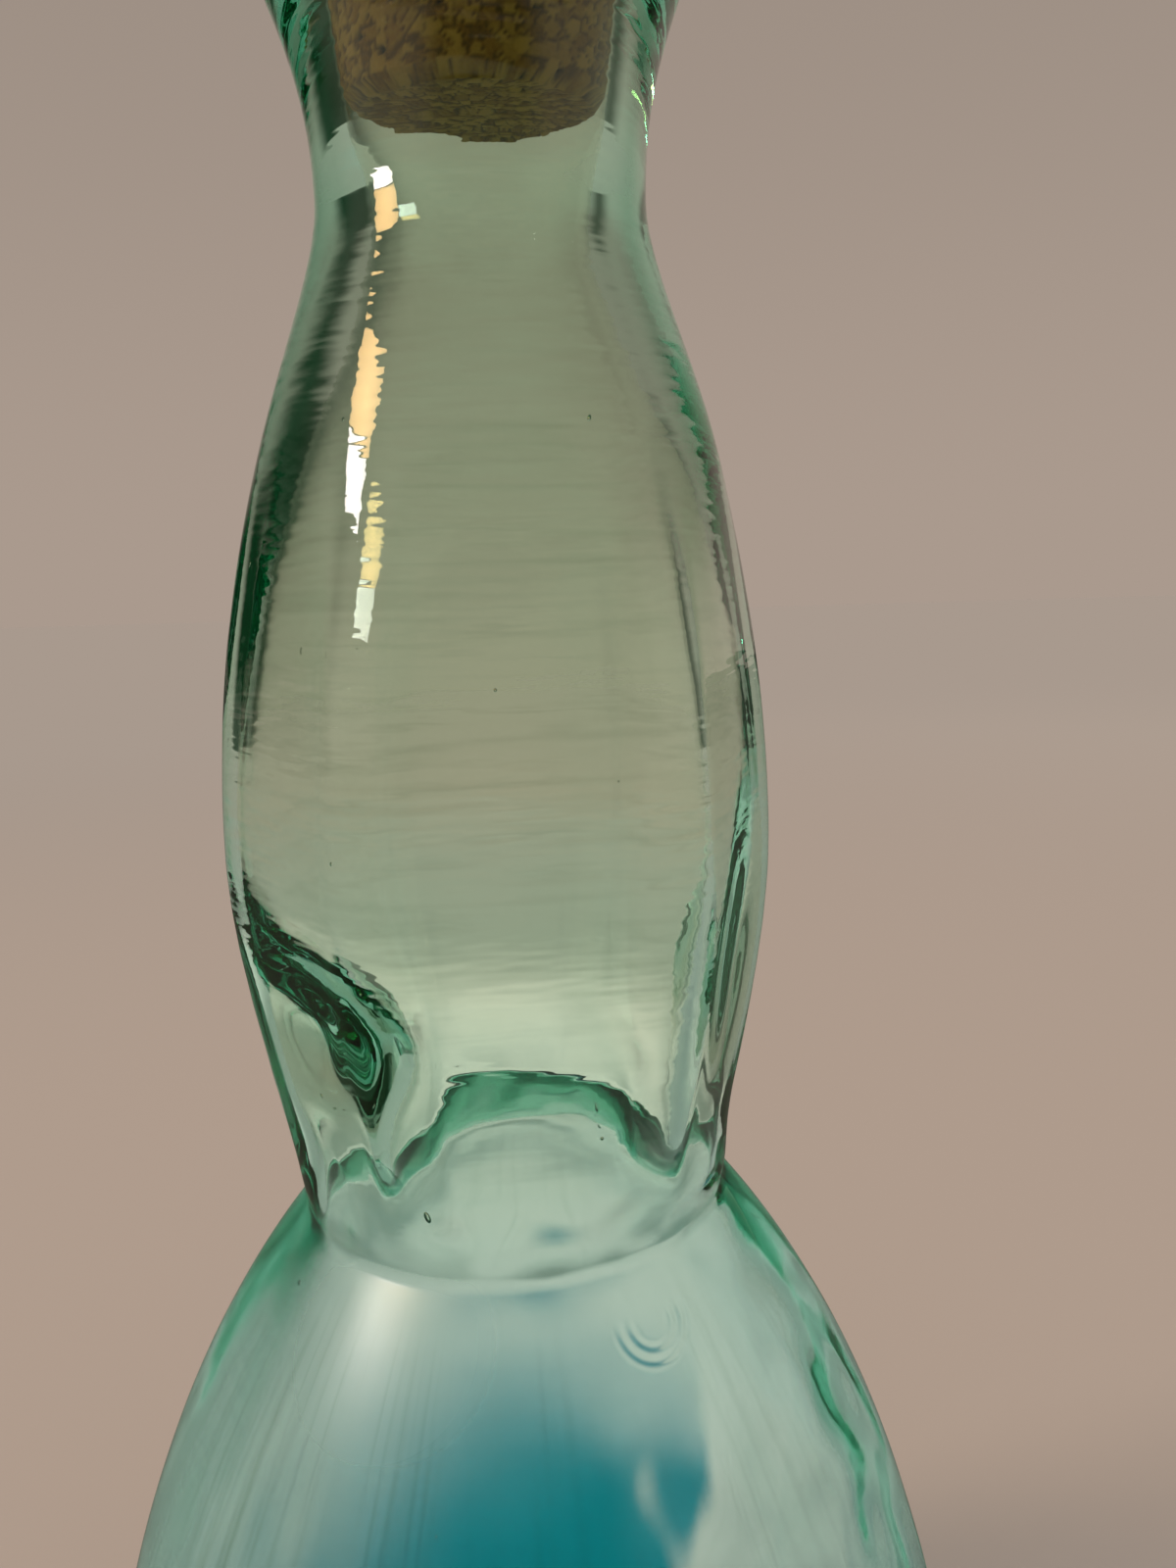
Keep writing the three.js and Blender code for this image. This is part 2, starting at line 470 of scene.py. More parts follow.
    def streak_share(self, tree: Tree, place: Socket, streaks: Streaks,
                     limits: Sequence[dict[str, Any]]) -> Node:
        """Adds one set of streaks.

        Args:
            tree: The material's tree.
            place: Place on the piece.
            streaks: The set.
            limits: Changes that each hold the streaks back, as span gives them.

        Returns:
            The node that gives the share of the streaks at each place.
        """
        level = add_node(tree, VECTOR_MATH, TIMES, {0: place, 1: (1.0, 1.0, 0.0)})
        way = add_node(tree, VECTOR_MATH, {"operation": "NORMALIZE"}, {0: level})
        upward = add_node(tree, VECTOR_MATH, TIMES, {0: place, 1: (0.0, 0.0, 1 / (streaks.up_mm * MM))})
        turns = streaks.radius_mm / streaks.across_mm
        flow = add_node(tree, VECTOR_MATH, TIMES_PLUS, {0: way, 1: (turns, turns, 0.0), 2: upward})
        lines = add_node(tree, NOISE, inputs={"Vector": flow, "Scale": 1.0, "Detail": 2.0})
        share = add_node(tree, MAP_RANGE, SMOOTH,
                         span(lines, self.streak_ends, 0.0, streaks.strength, unit=1.0))
        return held_back(tree, share, limits)

    def colour(self, tree: Tree, place: Socket, height: Socket) -> Node:
        """Adds the whole colour of the glass: its tint with the streaks over it.

        Args:
            tree: The material's tree.
            place: Place on the piece.
            height: Height of that place.

        Returns:
            The node that gives the colour.
        """
        aside = add_node(tree, VECTOR_MATH, ALONG, {0: place, 1: facing(self.cord_side_deg)})
        cords = self.streak_share(tree, place, self.cords, [
            span(height, self.cord_end_mm), span(aside, self.cord_reach_mm, self.cord_low_share)])
        # The level waves are painted stripes, standing in for a striped backdrop seen through the bulb's
        # rippled skin
        painted_stripes = self.streak_share(tree, place, self.painted_stripes, [
            span(height, self.wave_start_mm), span(height, self.wave_end_mm)])
        streaks = add_node(tree, MATH, GREATER, {0: cords, 1: painted_stripes})
        return add_node(tree, MIX, {**COLOURS, "blend_type": "MULTIPLY"}, {
            "Factor": streaks, FIRST_COLOUR: self.tint(tree, place, height),
            SECOND_COLOUR: linear(self.cord_and_painted_stripe_tint)})

    def polish(self, tree: Tree, place: Socket, height: Socket) -> Node:
        """Adds the roughness of the skin.

        Args:
            tree: The material's tree.
            place: Place on the piece.
            height: Height of that place.

        Returns:
            The node that gives the roughness.
        """
        away = add_node(tree, VECTOR_MATH, DISTANCE, {0: place, 1: metres(self.scuff_place_mm)})
        bell = add_node(tree, MAP_RANGE, SMOOTH,
                        span(away, self.scuff_reach_mm, self.scuff_roughness, self.bell_roughness))
        return add_node(tree, MAP_RANGE, SMOOTH, span(height, self.bell_polish_mm, bell, self.bulb_roughness))

    def skin(self, tree: Tree, place: Socket, height: Socket) -> Node:
        """Adds the fine ripples of the skin and the swirl mark, as bump.

        Args:
            tree: The material's tree.
            place: Place on the piece.
            height: Height of that place.

        Returns:
            The node that gives the bent normal.
        """
        scale = (1 / (self.ripple_mm * MM), 1 / (self.ripple_mm * MM), 1 / (self.ripple_up_mm * MM))
        drawn = add_node(tree, "ShaderNodeMapping", inputs={"Vector": place, "Scale": scale})
        ripples = add_node(tree, NOISE, inputs={"Vector": drawn, "Scale": 1.0, "Detail": 1.0})
        away = add_node(tree, VECTOR_MATH, DISTANCE, {0: place, 1: metres(self.swirl_place_mm)})
        turns = add_node(tree, MATH, TIMES, {0: away, 1: 2 * math.pi / (self.swirl_pitch_mm * MM)})
        rings = add_node(tree, MATH, {"operation": "SINE"}, {0: turns})
        start, end = (self.swirl_place_mm[2] + above for above in self.swirl_cut_mm)
        mark = held_back(tree, rings, [
            span(away, self.swirl_start_mm), span(away, self.swirl_end_mm), span(height, (start, end))])
        folds = add_node(tree, MATH, TIMES, {0: mark, 1: self.swirl_depth_mm * MM})
        full = self.ripple_depth_mm * MM
        depth = add_node(tree, MAP_RANGE, SMOOTH,
                         span(height, self.ripple_start_mm, self.ripple_low_share * full, full))
        raised = add_node(tree, MATH, TIMES_PLUS, {0: ripples, 1: depth, 2: folds})
        return add_node(tree, "ShaderNodeBump", inputs={"Height": raised, "Strength": 1.0, "Distance": 1.0})


@dataclass(frozen=True)
class PressedCork:
    """Agglomerated cork: bark ground to granules and pressed with binder, then turned to a taper.

    Each granule takes its own tan, dark binder shows in the grooves between them, and scraps of bark have
    fallen out or show as near-black pits. The cut surface is matt.
    """

    pale: str = "#c08d3f"
    tan: str = "#9f6b26"
    brown: str = "#6c4214"
    binder: str = "#6a4318"
    bark: str = "#1d1008"
    brown_until: float = 0.15
    tan_at: float = 0.5
    # The fine grain within a granule
    grain_mm: float = 0.5
    grain_depth_mm: float = 0.2
    grain_share: float = 0.5
    grain_strength: float = 0.6
    roughness: float = 0.88

    def make(self) -> bpy.types.Material:
        """Builds the material, which reads the grain that the cork's mesh carries.

        Returns:
            The material.
        """
        material, tree = new_material("agglomerated_cork_turned")
        grain = add_node(tree, "ShaderNodeAttribute", {"attribute_name": CorkStopper.GRAIN})
        parts = add_node(tree, "ShaderNodeSeparateColor", inputs={0: grain.outputs["Color"]})
        shade, groove, pit = parts.outputs
        place = add_node(tree, "ShaderNodeTexCoord").outputs["Object"]
        fine = add_node(tree, NOISE,
                        inputs={"Vector": place, "Scale": 1 / (self.grain_mm * MM), "Detail": 3.0})
        mottled = add_node(tree, MATH, TIMES_PLUS, {0: fine, 1: self.grain_share, 2: shade})
        granules = add_node(tree, "ShaderNodeValToRGB", inputs={0: mottled})
        set_ramp(granules, [(self.brown_until, self.brown), (self.tan_at, self.tan), (1.0, self.pale)])
        bound = add_node(tree, MIX, COLOURS, {"Factor": groove, FIRST_COLOUR: granules,
                                              SECOND_COLOUR: linear(self.binder)})
        pitted = add_node(tree, MIX, COLOURS, {"Factor": pit, FIRST_COLOUR: bound,
                                               SECOND_COLOUR: linear(self.bark)})
        bump = add_node(tree, "ShaderNodeBump", inputs={"Height": fine, "Strength": self.grain_strength,
                                                        "Distance": self.grain_depth_mm * MM})
        cork = add_node(tree, "ShaderNodeBsdfPrincipled",
                        inputs={"Base Color": pitted, "Roughness": self.roughness, "Normal": bump})
        add_node(tree, "ShaderNodeOutputMaterial", inputs={"Surface": cork})
        return material


class Side(Enum):
    """Which face of the glass a set of ripples lies on."""

    OUTER = "outer"
    INNER = "inner"


class Zone(Enum):
    """Which stretch of the vessel a set of ripples lies on."""

    ALL = "all"
    BELL = "bell"
    FLANK = "flank"
    WAIST = "waist"
    PANELS = "panels"
    NECK = "neck"


@dataclass(frozen=True)
class Ripples:
    """One set of ripples in the glass: where it lies, the size of a ripple and how far it stands out."""

    side: Side
    zone: Zone
    across: float
    up: float
    height: float


@dataclass(frozen=True)
class Seed:
    """A bubble caught in the wall: its place, half its width and length, and its lean from upright."""

    angle_deg: float
    height: float
    half_width: float
    half_length: float
    lean_deg: float = 0.0


@dataclass(frozen=True)
class Gob:
    """A thick place on the inside of the wall where the glass ran together, or a thin one where it ran off.

    It lies at an angle and a height above the crease, and leans by so many millimetres for each degree.
    """

    angle_deg: float
    above_waist: float
    width_deg: float
    tall: float
    depth: float
    lean: float = 0.0


@dataclass
class GlassVessel:
    """The blown vessel: bell-shaped body, creased waist, panelled bulb, neck and flared mouth in one."""

    # Outside
    foot_ring_radius: float = 42.0
    foot_ring_width: float = 9.0
    push_up_height: float = 7.0
    body_radius: float = 59.0
    waist_radius: float = 27.3
    bulb_radius: float = 34.9
    neck_radius: float = 19.7
    lip_radius: float = 28.3
    heel_height: float = 29.0
    bell_height: float = 102.0
    bulb_lower_height: float = 45.5
    bulb_upper_height: float = 77.0
    mouth_height: float = 38.0
    lip_round: float = 4.0
    bell_slope: float = -0.84
    bulb_slope: float = 0.24
    mouth_slope: float = 0.36
    # Wall and bore
    base_thickness: float = 9.5
    body_wall: float = 3.6
    waist_wall: float = 5.8
    waist_inner_round: float = 10.0
    bulb_wall: float = 2.6
    neck_wall: float = 6.4
    throat_drop: float = 7.0
    throat_slope: float = -0.26
    seat_taper: float = 0.18
    seat_depth: float = 31.0
    # How far each curve keeps its slope at its lower and upper end, as a share of its height
    bell_reach: Pair = (0.37, 0.29)
    bulb_lower_reach: Pair = (0.35, 0.27)
    bulb_upper_reach: Pair = (0.57, 0.16)
    mouth_reach: Pair = (0.42, 0.40)
    inner_upper_reach: Pair = (0.5, 0.2)
    throat_reach: Pair = (0.4, 0.4)
    # Panels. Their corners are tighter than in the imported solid, so that the edges show in the glass, and the
    # bulb above is 0.3 mm larger in radius than there, to keep its outline
    panel_count: int = 6
    panel_corner_radius: float = 10.0
    panel_foot_fade: float = 14.0
    panel_head_gap: float = 19.0
    panel_head_fade: float = 40.0
    panel_inside_share: float = 0.85
    # Mesh, and the length of three arcs as a share of their height
    around: int = 320
    step: float = 1.0
    heel_arc: float = 1.3
    lip_arc: float = 4.0
    floor_arc: float = 1.2
    # Ripples, and where each stretch of them starts or ends
    ripples: tuple[Ripples, ...] = (
        Ripples(Side.OUTER, Zone.ALL, 30.0, 42.0, 0.30),
        Ripples(Side.INNER, Zone.ALL, 24.0, 34.0, 0.40),
        Ripples(Side.INNER, Zone.ALL, 9.0, 12.0, 0.08),
        Ripples(Side.OUTER, Zone.PANELS, 20.0, 3.4, 0.035),
        Ripples(Side.OUTER, Zone.BELL, 5.0, 80.0, 0.10),
        Ripples(Side.INNER, Zone.BELL, 11.0, 14.0, 0.30),
        Ripples(Side.INNER, Zone.FLANK, 8.0, 11.0, 0.6),
        Ripples(Side.INNER, Zone.WAIST, 6.0, 5.0, 0.55),
        Ripples(Side.INNER, Zone.NECK, 5.0, 7.0, 0.07),
    )
    ripple_shift: float = 7.3
    ripple_start: Pair = (3.0, 16.0)
    bell_end_drop: Pair = (25.0, 5.0)
    flank_deg: float = -35.0
    flank_reach: Pair = (12.0, 38.0)
    waist_band: float = 8.0
    neck_band: float = 9.0
    neck_band_drop: float = 8.0
    seat_clear_drop: Pair = (8.0, 1.0)
    # The uneven crease
    crease_jitter: float = 0.9
    crease_band: float = 12.0
    crease_wave: float = 13.0
    crease_shift: float = 3.7
    # Thick and thin places inside, and the hollow that has run to one side just above the crease
    gobs: tuple[Gob, ...] = (
        Gob(angle_deg=210.0, above_waist=26.5, width_deg=26.0, tall=7.0, depth=5.2),
        Gob(angle_deg=200.0, above_waist=-2.0, width_deg=40.0, tall=14.0, depth=-2.2),
        Gob(angle_deg=-24.0, above_waist=32.0, width_deg=14.0, tall=12.0, depth=3.5, lean=0.2),
        Gob(angle_deg=-10.0, above_waist=8.0, width_deg=40.0, tall=20.0, depth=-3.0),
    )
    hollow_shift: float = 0.5
    hollow_shift_rise: float = 6.0
    hollow_shift_band: float = 18.0
    # Bubbles that show in the photograph, and the ranges of those scattered over the rest
    seeds: tuple[Seed, ...] = (
        Seed(angle_deg=-115.5, height=139.5, half_width=0.32, half_length=0.72, lean_deg=20.0),
        Seed(angle_deg=-95.2, height=197.9, half_width=0.16, half_length=0.2),
        Seed(angle_deg=-126.8, height=180.3, half_width=0.14, half_length=0.22),
        Seed(angle_deg=-128.2, height=225.8, half_width=0.16, half_length=0.24),
        Seed(angle_deg=-74.7, height=147.7, half_width=0.2, half_length=0.22),
    )
    more_seeds: int = 30
    seed_draw: int = 7
    seed_half_width: Pair = (0.09, 0.24)
    seed_stretch: Pair = (1.0, 2.2)
    seed_lean_deg: float = 25.0
    seed_depth: float = 1.1
    seed_around: int = 14

    @property
    def waist_height(self) -> float:
        """Height of the crease."""
        return self.heel_height + self.bell_height

    @property
    def bulb_height(self) -> float:
        """Height of the widest part of the bulb."""
        return self.waist_height + self.bulb_lower_height

    @property
    def neck_height(self) -> float:
        """Height of the narrowest part of the neck."""
        return self.bulb_height + self.bulb_upper_height

    @property
    def lip_height(self) -> float:
        """Height of the top of the lip."""
        return self.neck_height + self.mouth_height

    @property
    def rim_height(self) -> float:
        """Height at which the lip starts to turn over."""
        return self.lip_height - self.lip_round

    @property
    def seat_foot(self) -> float:
        """Height of the lower end of the cork's seat."""
        return self.lip_height - self.seat_depth

    @property
    def foot_ring_inner(self) -> float:
        """Radius at which the push-up starts."""
        return self.foot_ring_radius - self.foot_ring_width

    def seat_radius(self, height: Any) -> Any:
        """Radius of the mouth's bore at a height."""
        return self.neck_radius - self.neck_wall + self.seat_taper * (height - self.neck_height)

    def steps(self, length: float) -> int:
        """Number of mesh steps along a length of outline."""
        return max(3, round(length / self.step))

    def panel_share(self, height: np.ndarray) -> np.ndarray:
        """Share of the panels' depth at each height.

        Args:
            height: The heights.

        Returns:
            One share for each height, from 0 where the vessel is round to 1.
        """
        head = self.neck_height - self.panel_head_gap
        grown = smooth_share(height, self.waist_height, self.waist_height + self.panel_foot_fade)
        return grown * (1 - smooth_share(height, head - self.panel_head_fade, head))

    def panel_radius(self, angle: np.ndarray) -> np.ndarray:
        """Radius of the rounded polygon of the panels in each direction.

        Args:
            angle: The directions, in radians from +X.

        Returns:
            One radius for each direction, as a share of the radius at the corners.
        """
        half = math.pi / self.panel_count
        centre = self.bulb_radius - self.panel_corner_radius
        face = centre * math.cos(half) + self.panel_corner_radius
        from_front = angle + math.pi / 2
        from_face = np.abs(from_front - 2 * half * np.round(from_front / (2 * half)))
        flat = face / np.cos(from_face)
        across = centre * np.sin(half - from_face)
        corner = centre * np.cos(half - from_face) + np.sqrt(self.panel_corner_radius ** 2 - across ** 2)
        flat_end = math.atan2(centre * math.sin(half), face)
        return np.where(from_face <= flat_end, flat, corner) / self.bulb_radius

    def outer_outline(self) -> np.ndarray:
        """Sets out the outside.

        Returns:
            Radius and height along it, from the middle of the push-up to the top of the bore.
        """
        ring = self.foot_ring_inner
        push_up = bezier(np.array([(0, self.push_up_height), (ring / 2, self.push_up_height), (ring, 0)]),
                         self.steps(ring))
        foot_steps = self.steps(self.foot_ring_width) + 1
        foot = np.stack([np.linspace(ring, self.foot_ring_radius, foot_steps), np.zeros(foot_steps)], axis=1)
        heel = arc((self.foot_ring_radius, self.heel_height),
                   (self.body_radius - self.foot_ring_radius, self.heel_height),
                   (-math.pi / 2, 0), self.steps(self.heel_height * self.heel_arc))
        bell = curve(Station(self.body_radius, self.heel_height, 0, self.bell_reach[0]),
                     Station(self.waist_radius, self.waist_height, self.bell_slope, self.bell_reach[1]),
                     self.steps(self.bell_height))
        start, end = self.bulb_lower_reach
        lower = curve(Station(self.waist_radius, self.waist_height, self.bulb_slope, start),
                      Station(self.bulb_radius, self.bulb_height, 0, end),
                      self.steps(self.bulb_lower_height))
        upper = curve(Station(self.bulb_radius, self.bulb_height, 0, self.bulb_upper_reach[0]),
                      Station(self.neck_radius, self.neck_height, 0, self.bulb_upper_reach[1]),
                      self.steps(self.bulb_upper_height))
        mouth = curve(Station(self.neck_radius, self.neck_height, 0, self.mouth_reach[0]),
                      Station(self.lip_radius, self.rim_height, self.mouth_slope, self.mouth_reach[1]),
                      self.steps(self.mouth_height))
        bore = self.seat_radius(self.rim_height)
        lip = arc(((self.lip_radius + bore) / 2, self.rim_height),
                  ((self.lip_radius - bore) / 2, self.lip_round),
                  (0, math.pi), self.steps(self.lip_round * self.lip_arc))
        above = [stretch[1:] for stretch in (foot, heel, bell, lower, upper, mouth, lip)]
        return np.concatenate([push_up, *above])

    def inner_outline(self) -> np.ndarray:
        """Sets out the inside.

        Returns:
            Radius and height along it, from the top of the bore to the middle of the floor.
        """
        seat_steps = self.steps(self.rim_height - self.seat_foot)
        seat_height = np.linspace(self.rim_height, self.seat_foot, seat_steps + 1)
        seat = np.stack([self.seat_radius(seat_height), seat_height], axis=1)
        throat_radius = self.seat_radius(self.neck_height)
        throat_height = self.neck_height - self.throat_drop
        start, end = self.throat_reach
        bore = curve(Station(throat_radius, throat_height, self.throat_slope, start),
                     Station(self.seat_radius(self.seat_foot), self.seat_foot, self.seat_taper, end),
                     self.steps(self.seat_foot - throat_height))
        inner_bulb = self.bulb_radius - self.bulb_wall
        upper = curve(Station(inner_bulb, self.bulb_height, 0, self.inner_upper_reach[0]),
                      Station(throat_radius, throat_height, self.throat_slope, self.inner_upper_reach[1]),
                      self.steps(self.bulb_upper_height))
        ridge_centre = self.waist_radius - self.waist_wall + self.waist_inner_round
        ridge = arc((ridge_centre, self.waist_height), (-self.waist_inner_round, self.waist_inner_round),
                    (math.atan(self.bulb_slope), math.atan(self.bell_slope)),
                    self.steps(self.waist_inner_round))
        lower = curve(Station(ridge[0, 0], ridge[0, 1], self.bulb_slope, self.bulb_lower_reach[0]),
                      Station(inner_bulb, self.bulb_height, 0, self.bulb_lower_reach[1]),
                      self.steps(self.bulb_lower_height))
        inner_body = self.body_radius - self.body_wall
        bell = curve(Station(inner_body, self.heel_height, 0, self.bell_reach[0]),
                     Station(ridge[-1, 0], ridge[-1, 1], self.bell_slope, self.bell_reach[1]),
                     self.steps(self.bell_height))
        floor_height = self.push_up_height + self.base_thickness
        floor = bezier(np.array([(inner_body, self.heel_height), (inner_body, self.push_up_height / 2),
                                 (self.foot_ring_inner, floor_height), (0, floor_height)]),
                       self.steps(inner_body * self.floor_arc))
        return np.concatenate([seat[1:], bore[::-1][1:], upper[::-1][1:], lower[::-1][1:], ridge[1:],
                               bell[::-1][1:], floor[1:]])

    def zone_share(self, zone: Zone, places: np.ndarray) -> np.ndarray:
        """How strongly a set of ripples shows at each place.

        Args:
            zone: The stretch that the ripples lie on.
            places: The points.

        Returns:
            One share for each point, from 0 to 1.
        """
        height = places[:, 2]
        standing = smooth_share(height, *self.ripple_start)
        if zone is Zone.WAIST:
            return np.exp(-((height - self.waist_height) / self.waist_band) ** 2)
        if zone is Zone.NECK:
            return np.exp(-((height - self.neck_height + self.neck_band_drop) / self.neck_band) ** 2)
        if zone is Zone.PANELS:
            return self.panel_share(height)
        if zone is Zone.ALL:
            return standing
        fading, gone = (self.waist_height - drop for drop in self.bell_end_drop)
        bell = standing * (1 - smooth_share(height, fading, gone))
        if zone is Zone.BELL:
            return bell
        return bell * smooth_share(places @ np.array(facing(self.flank_deg)), *self.flank_reach)

    def unevenness(self, places: np.ndarray) -> np.ndarray:
        """How much thicker than even the wall is at each place.

        Args:
            places: The points.

        Returns:
            One thickness for each point.
        """
        angle = np.arctan2(places[:, 1], places[:, 0])
        height = places[:, 2] - self.waist_height
        band = np.exp(-((height - self.hollow_shift_rise) / self.hollow_shift_band) ** 2)
        thicker = -self.hollow_shift * np.cos(angle) * band
        for gob in self.gobs:
            aside = (np.degrees(angle) - gob.angle_deg + 180) % 360 - 180
            above = height - gob.above_waist - gob.lean * aside
            thicker += gob.depth * np.exp(-(aside / gob.width_deg) ** 2 - (above / gob.tall) ** 2)
        return thicker

    def all_seeds(self) -> list[Seed]:
        """Gathers the bubbles of the photograph, and more of them scattered over the whole vessel.

        Returns:
            The bubbles.
        """
        chance = np.random.default_rng(self.seed_draw)
        found = list(self.seeds)
        for _ in range(self.more_seeds):
            width = chance.uniform(*self.seed_half_width)
            angle = chance.uniform(-180, 180)
            height = chance.uniform(self.heel_height, self.neck_height)
            length = width * chance.uniform(*self.seed_stretch)
            lean = chance.uniform(-self.seed_lean_deg, self.seed_lean_deg)
            found.append(Seed(angle, height, width, length, lean))
        return found

    def bubble(self, seed: Seed, outer: np.ndarray) -> tuple[np.ndarray, list[Face]]:
        """Makes one bubble in the wall, with the fronts of its faces towards its middle.

        Args:
            seed: The bubble.
            outer: The outside outline.

        Returns:
            The points, and the faces as indices into them.
        """
        angle = math.radians(seed.angle_deg)
        upwards = outer[outer[:, 1] >= self.heel_height]
        panel = self.panel_share(np.array([seed.height])) * (self.panel_radius(np.array([angle])) - 1)
        radius = np.interp(seed.height, upwards[:, 1], upwards[:, 0]) * (1 + panel[0]) - self.seed_depth
        turn = np.linspace(-math.pi / 2, math.pi / 2, self.seed_around)[1:-1, None]
        rings = around_axis(seed.half_width * np.cos(turn), seed.half_length * np.sin(turn), self.seed_around)
        turned = Euler((math.radians(seed.lean_deg), 0, 0)).to_matrix()
        turned.rotate(Euler((0, 0, angle)))
        centre = np.array([radius * math.cos(angle), radius * math.sin(angle), seed.height])
        faces = [face[::-1] for face in turned_faces(len(turn), self.seed_around)]
        return capped(rings, -seed.half_length, seed.half_length) @ np.array(turned).T + centre, faces

    def build(self, finish: bpy.types.Material) -> bpy.types.Object:
        """Makes the vessel's mesh.

        Args:
            finish: The glass.

        Returns:
            The object.
        """
        outer = self.outer_outline()
        outline = np.concatenate([outer, self.inner_outline()])
        rings = outline[1:-1]
        ring_inside = np.arange(1, len(outline) - 1) >= len(outer)
        angle = np.arange(self.around) * 2 * math.pi / self.around
        depth = self.panel_share(rings[:, 1]) * np.where(ring_inside, self.panel_inside_share, 1.0)
        radius = rings[:, :1] * (1 + depth[:, None] * (self.panel_radius(angle) - 1)[None, :])
        places = around_axis(radius, rings[:, 1:], self.around)
        out = outward(outline)
        normals = around_axis(out[:, :1], out[:, 1:], self.around)
        inside = np.repeat(ring_inside, self.around)
        raised = np.zeros(len(places))
        for index, wave in enumerate(self.ripples):
            chosen = inside == (wave.side is Side.INNER)
            height = wave.height * self.zone_share(wave.zone, places[chosen])
            shift = self.ripple_shift * (index + 1)
            raised[chosen] += height * ripple(places[chosen], wave.across, wave.up, shift)
        raised += inside * self.unevenness(places)
        fading, gone = (self.seat_foot - drop for drop in self.seat_clear_drop)
        raised *= 1 - smooth_share(places[:, 2], fading, gone) * inside
        points = places + normals * raised[:, None]
        crease = np.exp(-((places[:, 2] - self.waist_height) / self.crease_band) ** 2)
        edge = places * np.array([1.0, 1.0, 0.0])
        edge *= (self.waist_radius / np.linalg.norm(edge, axis=1))[:, None]
        points[:, 2] += self.crease_jitter * crease * ripple(edge, self.crease_wave, 1.0, self.crease_shift)
        points = capped(points, outline[0, 1], outline[-1, 1])
        faces = turned_faces(len(rings), self.around)
        for seed in self.all_seeds():
            more, more_faces = self.bubble(seed, outer)
            faces += [tuple(index + len(points) for index in face) for face in more_faces]
            points = np.concatenate([points, more])
        return make_object("glass_vessel_blown", points, faces, finish)


@dataclass
class CorkStopper:
    """The tapered cork, pressed into the flared mouth."""

    GRAIN: ClassVar[str] = "grain"

    vessel: GlassVessel
    depth: float = 29.5
    proud: float = 18.5
    bevel: float = 1.2
    clearance: float = 0.3
    # Granules, the grooves between them and the pits. Widths are shares of the cell that each lies in
    granule: float = 1.5
    groove_depth: float = 0.14
    groove_width: float = 0.16
    pit_spacing: float = 2.2
    pit_share: float = 0.4
    pit_depth: float = 0.5
    pit_edge: Pair = (0.10, 0.24)
    # Numbers that only mix the cells up
    shade_mix: float = 53.7
    pit_mix: float = 31.3
    pit_shift: Spot = (5.0, 9.0, 2.0)
    around: int = 260
    step: float = 0.42

    def radius(self, height: Any) -> Any:
        """Radius of the cork at a height."""
        return self.vessel.seat_radius(height) - self.clearance

    def grain(self, points: np.ndarray) -> np.ndarray:
        """Shade of the granule, groove and pit at each point, each from 0 to 1.

        Args:
            points: Places in millimetres.

        Returns:
            Three values for each point.
        """
        found = np.zeros((len(points), 3))
        for index, point in enumerate(points):
            gaps, cells = noise.voronoi(Vector(point) / self.granule)
            found[index, 0] = 0.5 + 0.5 * noise.cell(cells[0] * self.shade_mix)
            found[index, 1] = gaps[1] - gaps[0]
            holes, hole_cells = noise.voronoi(Vector(point) / self.pit_spacing + Vector(self.pit_shift))
            chosen = 0.5 + 0.5 * noise.cell(hole_cells[0] * self.pit_mix) < self.pit_share
            found[index, 2] = holes[0] if chosen else 1.0
        found[:, 1] = 1 - smooth_share(found[:, 1], 0.0, self.groove_width)
        found[:, 2] = 1 - smooth_share(found[:, 2], *self.pit_edge)
        return found

    def build(self, finish: bpy.types.Material) -> bpy.types.Object:
        """Makes the cork's mesh, with its grooves and pits.

        Args:
            finish: The cork.

        Returns:
            The object.
        """
        bottom = self.vessel.lip_height - self.depth
        top = self.vessel.lip_height + self.proud
        side_height = np.linspace(bottom + self.bevel, top - self.bevel, round((top - bottom) / self.step))
        low = np.linspace(0, self.radius(bottom) - self.bevel, round(self.radius(bottom) / self.step))
        high = np.linspace(self.radius(top) - self.bevel, 0, round(self.radius(top) / self.step))
        outline = np.concatenate([
            np.stack([low, np.full(len(low), bottom)], axis=1),
            np.stack([self.radius(side_height), side_height], axis=1),
            np.stack([high, np.full(len(high), top)], axis=1),
        ])
        rings = outline[1:-1]
        out = outward(outline)
        points = capped(around_axis(rings[:, :1], rings[:, 1:], self.around), bottom, top)
        normals = capped(around_axis(out[:, :1], out[:, 1:], self.around), -1, 1)
        grain = self.grain(points)
        sunk = self.groove_depth * grain[:, 1] + self.pit_depth * grain[:, 2]
        faces = turned_faces(len(rings), self.around)
        made = make_object("cork_stopper_turned", points - normals * sunk[:, None], faces, finish)
        layer = made.data.color_attributes.new(self.GRAIN, "FLOAT_COLOR", "POINT")
        layer.data.foreach_set("color", np.concatenate([grain, np.ones((len(grain), 1))], axis=1).ravel())
        return made


